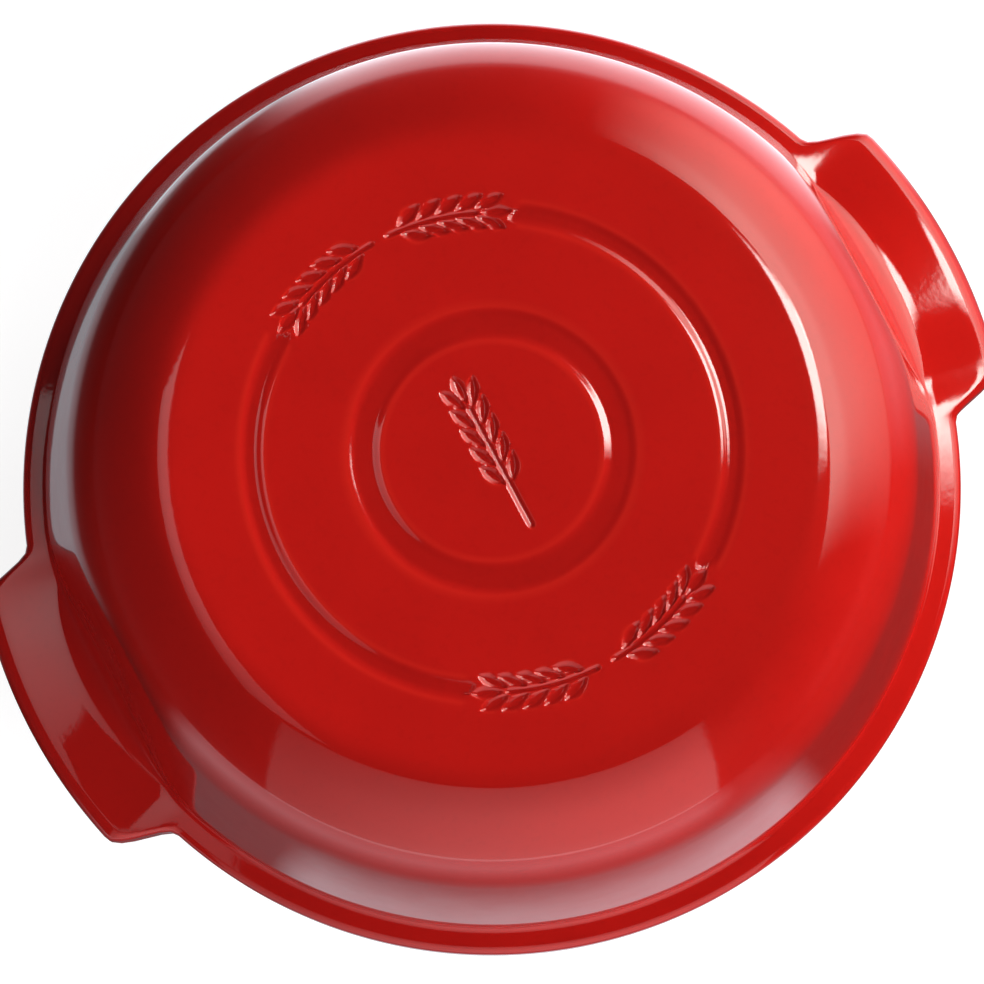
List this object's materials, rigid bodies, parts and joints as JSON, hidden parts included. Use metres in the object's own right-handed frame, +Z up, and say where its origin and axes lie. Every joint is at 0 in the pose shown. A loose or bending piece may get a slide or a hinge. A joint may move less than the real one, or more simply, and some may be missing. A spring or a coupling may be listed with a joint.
{
  "type": "covered bread baker",
  "caption": "Round glazed ceramic bread baker: a shallow dish with side lugs and a tall domed lid with a flat crown, which lifts off for loading the dough.",
  "frame": {"origin": "on the table under the middle of the dish", "axes": "+Z up along the axis of the dish and the lid, +X through the two pairs of lugs"},
  "size_m": [0.328, 0.295, 0.14],
  "materials": {
    "dish_glaze": "deep red gloss glaze, bare clay on the foot ring",
    "lid_glaze": "deep red gloss glaze, bare clay on the seat"
  },
  "bodies": {
    "dish_body": {"dish": "dish_glaze"},
    "lid_body": {"lid": "lid_glaze"}
  },
  "joints": [
    {"name": "lid_lift", "type": "slide", "parent": "dish_body", "child": "lid_body", "axis": [0, 0, 1], "range_m": [0, 0.2]}
  ]
}
